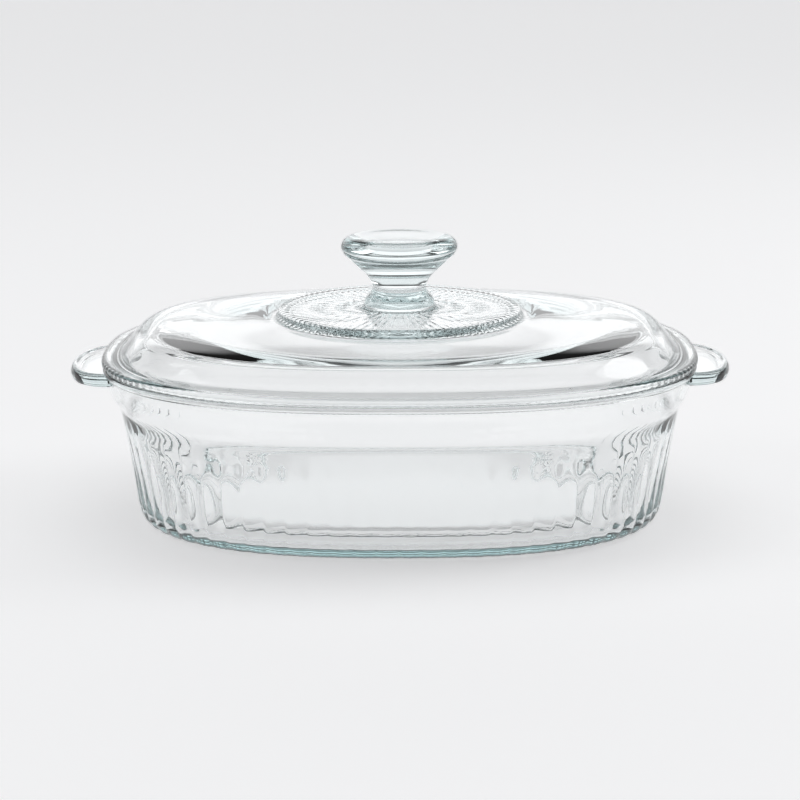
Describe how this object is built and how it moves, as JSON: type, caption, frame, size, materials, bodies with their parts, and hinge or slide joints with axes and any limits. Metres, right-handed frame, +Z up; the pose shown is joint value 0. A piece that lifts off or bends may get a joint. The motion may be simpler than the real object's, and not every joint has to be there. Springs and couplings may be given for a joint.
{
  "type": "covered casserole dish",
  "caption": "Oval oven dish in clear pressed glass with a fluted wall and flat tab handles, covered by a domed glass lid with a round knob that lifts straight off.",
  "frame": {"origin": "under the middle of the base, on the surface the dish stands on", "axes": "+X along the long axis of the oval from handle to handle, +Y to the back, +Z up through the knob"},
  "size_m": [0.322, 0.2236, 0.136],
  "materials": {
    "dish_glass": "clear fire-polished pressed glass with a faint teal tint in its thick edges",
    "lid_glass": "clear fire-polished pressed glass with a faint teal tint in its thick edges"
  },
  "bodies": {
    "dish": {"dish": "dish_glass"},
    "lid": {"lid": "lid_glass"}
  },
  "joints": [
    {"name": "lid_lift", "type": "slide", "parent": "dish", "child": "lid", "axis": [0, 0, 1], "range_m": [0, 0.12]}
  ]
}
